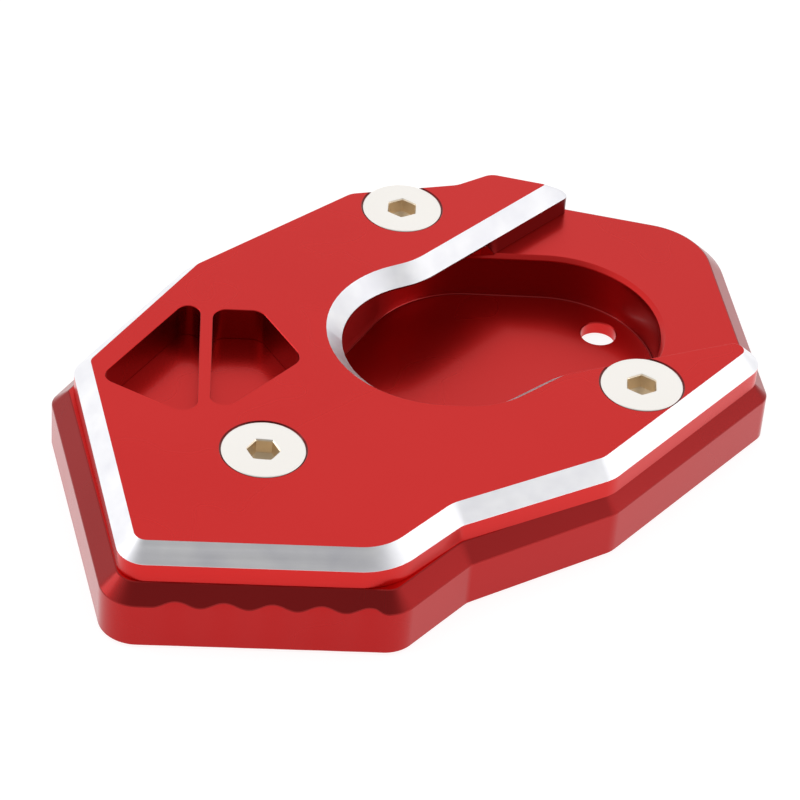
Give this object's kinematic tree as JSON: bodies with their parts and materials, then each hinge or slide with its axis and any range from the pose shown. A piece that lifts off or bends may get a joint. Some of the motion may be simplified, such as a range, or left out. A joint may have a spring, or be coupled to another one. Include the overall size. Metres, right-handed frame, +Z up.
{
  "type": "side stand foot plate",
  "caption": "Clamp-on foot plate for a side stand: a thick bevelled base with a foot pocket, and a hook-shaped clamp plate held down by countersunk hex-socket screws.",
  "frame": {"origin": "centre of the footprint's bounding box, on the ground face", "axes": "+X to the right along the longest side, +Y to the back where the hook opens, +Z up out of the ground"},
  "size_m": [0.1045, 0.0968, 0.0152],
  "materials": {
    "base_plate": "satin red anodised, cut faces",
    "clamp_plate": "satin red anodised, bright machined bevel",
    "screw": "plain bright steel"
  },
  "bodies": {
    "base": {"base_plate": "base_plate"},
    "clamp": {"clamp_plate": "clamp_plate"},
    "front_bolt": {"front_screw": "screw"},
    "side_bolt": {"side_screw": "screw"},
    "back_bolt": {"back_screw": "screw"}
  },
  "joints": [
    {"name": "clamp_lift", "type": "slide", "parent": "base", "child": "clamp", "axis": [0, 0, 1], "range_m": [0, 0.02]},
    {"name": "front_screw_out", "type": "slide", "parent": "clamp", "child": "front_bolt", "axis": [0, 0, 1], "range_m": [0, 0.016]},
    {"name": "side_screw_out", "type": "slide", "parent": "clamp", "child": "side_bolt", "axis": [0, 0, 1], "range_m": [0, 0.016]},
    {"name": "back_screw_out", "type": "slide", "parent": "clamp", "child": "back_bolt", "axis": [0, 0, 1], "range_m": [0, 0.016]}
  ]
}
